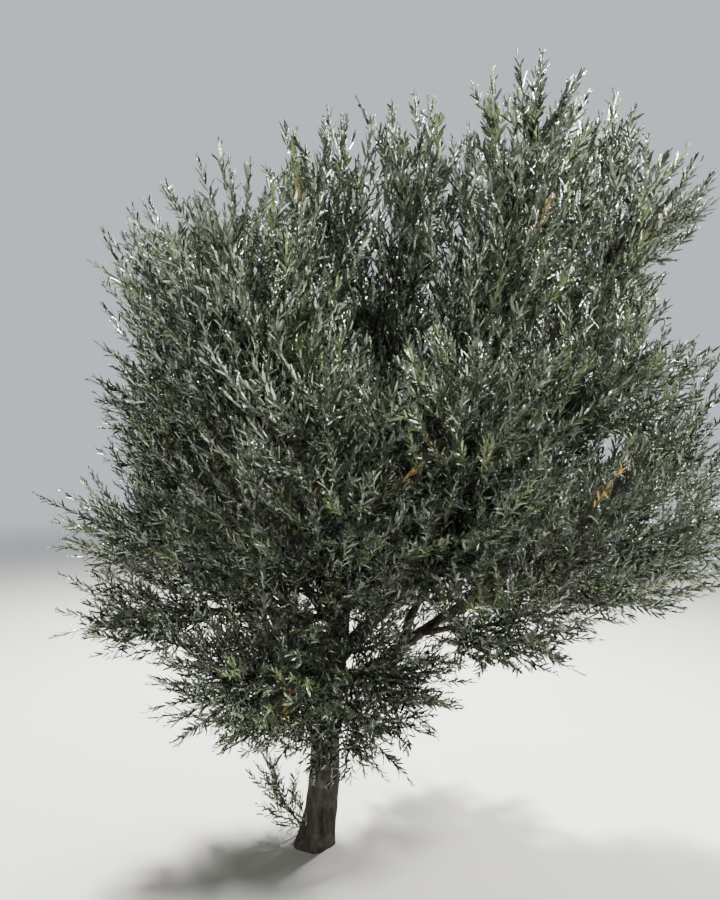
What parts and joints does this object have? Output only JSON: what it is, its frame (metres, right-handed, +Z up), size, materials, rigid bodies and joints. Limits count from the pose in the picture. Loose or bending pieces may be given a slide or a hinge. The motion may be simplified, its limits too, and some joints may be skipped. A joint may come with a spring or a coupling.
{
  "type": "olive tree",
  "caption": "Young open-grown olive tree with a short leaning trunk, ascending boughs and an airy, feathery, grey-green crown, for planting in level ground.",
  "frame": {"origin": "middle of the trunk's flat cut at ground level", "axes": "+Z up, +X towards the side that the trunk leans to, -Y towards the side seen in the picture"},
  "size_m": [2.7152, 2.1182, 3.1134],
  "materials": {
    "trunk_bark": "rough dark grey-brown bark with shallow ridges",
    "bough_bark": "fairly smooth grey-brown young bark",
    "olive_leaves": "narrow leathery leaves, dull grey-green above and silvery beneath, on thin grey twigs"
  },
  "bodies": {
    "root": {"trunk": "trunk_bark", "centre_bough": "bough_bark", "left_bough": "bough_bark", "right_bough": "bough_bark", "low_right_bough": "bough_bark", "back_bough": "bough_bark", "front_bough": "bough_bark", "high_bough": "bough_bark", "middle_bough": "bough_bark", "shoulder_bough": "bough_bark", "low_left_bough": "bough_bark", "plume_bough": "bough_bark", "edge_bough": "bough_bark", "inner_right_bough": "bough_bark", "low_front_right_bough": "bough_bark", "left_crown_bough": "bough_bark", "front_left_bough": "bough_bark", "low_front_bough": "bough_bark", "back_left_bough": "bough_bark", "back_right_bough": "bough_bark", "low_back_bough": "bough_bark", "low_edge_bough": "bough_bark", "left_edge_bough": "bough_bark", "far_left_foliage": "olive_leaves", "left_shoulder_foliage": "olive_leaves", "left_crown_foliage": "olive_leaves", "middle_foliage": "olive_leaves", "centre_foliage": "olive_leaves", "high_foliage": "olive_leaves", "right_plume_foliage": "olive_leaves", "far_right_foliage": "olive_leaves", "right_edge_foliage": "olive_leaves", "low_right_foliage": "olive_leaves", "low_edge_foliage": "olive_leaves", "low_front_right_foliage": "olive_leaves", "front_right_foliage": "olive_leaves", "front_foliage": "olive_leaves", "front_left_foliage": "olive_leaves", "low_front_foliage": "olive_leaves", "low_left_foliage": "olive_leaves", "left_edge_foliage": "olive_leaves", "back_left_foliage": "olive_leaves", "back_foliage": "olive_leaves", "back_right_foliage": "olive_leaves", "low_back_foliage": "olive_leaves", "inner_front_foliage": "olive_leaves", "inner_right_foliage": "olive_leaves", "left_skirt_foliage": "olive_leaves", "right_skirt_foliage": "olive_leaves", "foot_sucker_foliage": "olive_leaves"}
  },
  "joints": []
}
